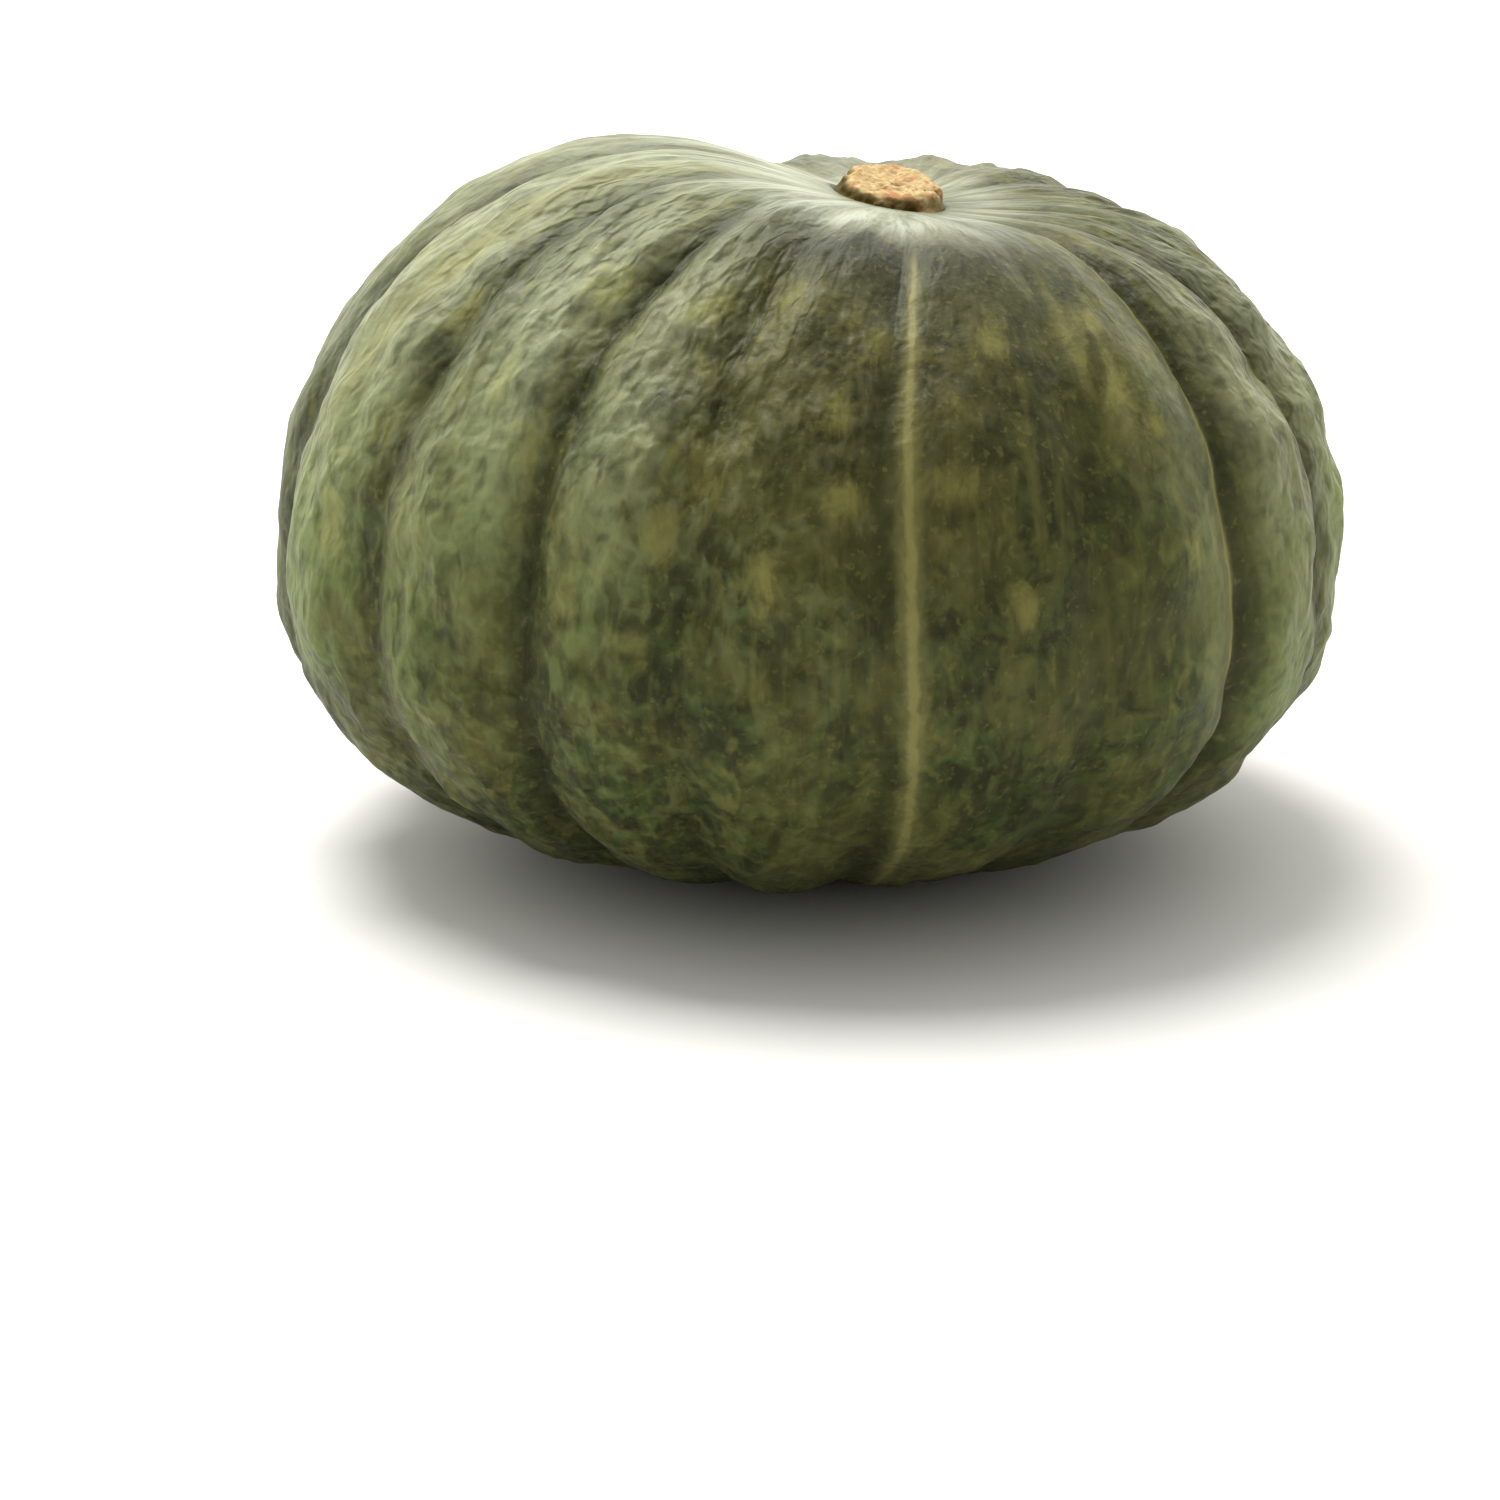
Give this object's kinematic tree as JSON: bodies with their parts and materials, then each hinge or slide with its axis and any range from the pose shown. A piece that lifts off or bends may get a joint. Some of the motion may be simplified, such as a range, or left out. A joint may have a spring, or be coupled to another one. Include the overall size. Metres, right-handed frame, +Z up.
{
  "type": "kabocha squash",
  "caption": "Whole squat green winter squash with ribs and furrows that meet in a hollow round a short corky stem.",
  "frame": {"origin": "under the middle of the fruit's box, on the surface that it rests on", "axes": "+Z up through the stem end, -Y towards the side that the picture shows, +X towards the side that the stem leans to"},
  "size_m": [0.17, 0.1696, 0.1129],
  "materials": {
    "rind": "waxy satin dark green rind with olive mottling",
    "cork": "dry rough tan cork"
  },
  "bodies": {
    "root": {"fruit": "rind", "stem": "cork"}
  },
  "joints": []
}
